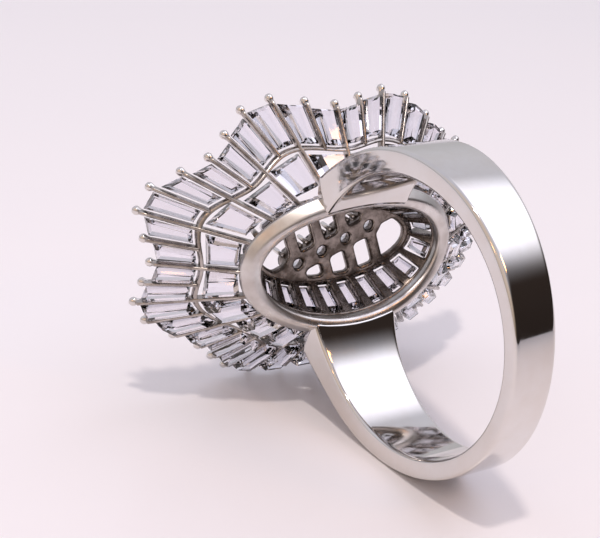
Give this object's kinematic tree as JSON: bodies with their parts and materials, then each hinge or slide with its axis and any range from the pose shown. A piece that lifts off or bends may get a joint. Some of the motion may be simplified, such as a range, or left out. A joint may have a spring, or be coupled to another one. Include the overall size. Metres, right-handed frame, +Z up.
{
  "type": "ballerina ring",
  "caption": "Cocktail ring whose oval head has a wavy skirt of tapered baguettes round a row of brilliants, lying on its side; open pierced back.",
  "frame": {"origin": "middle of the bounding box's bottom, on the surface that the ring lies on", "axes": "+Z up; X along the finger hole's axis and the head's long axis; -Y the way the head's front faces"},
  "size_m": [0.0272, 0.0238, 0.0201],
  "materials": {
    "white_gold": "mirror polish",
    "baguette_stone": "polished facets",
    "brilliant_stone": "polished facets"
  },
  "bodies": {
    "root": {"ring_mount": "white_gold", "outer_baguettes": "baguette_stone", "inner_baguettes": "baguette_stone", "flank_baguettes": "baguette_stone", "middle_brilliant_1": "brilliant_stone", "middle_brilliant_2": "brilliant_stone", "middle_brilliant_3": "brilliant_stone", "middle_brilliant_4": "brilliant_stone"}
  },
  "joints": []
}
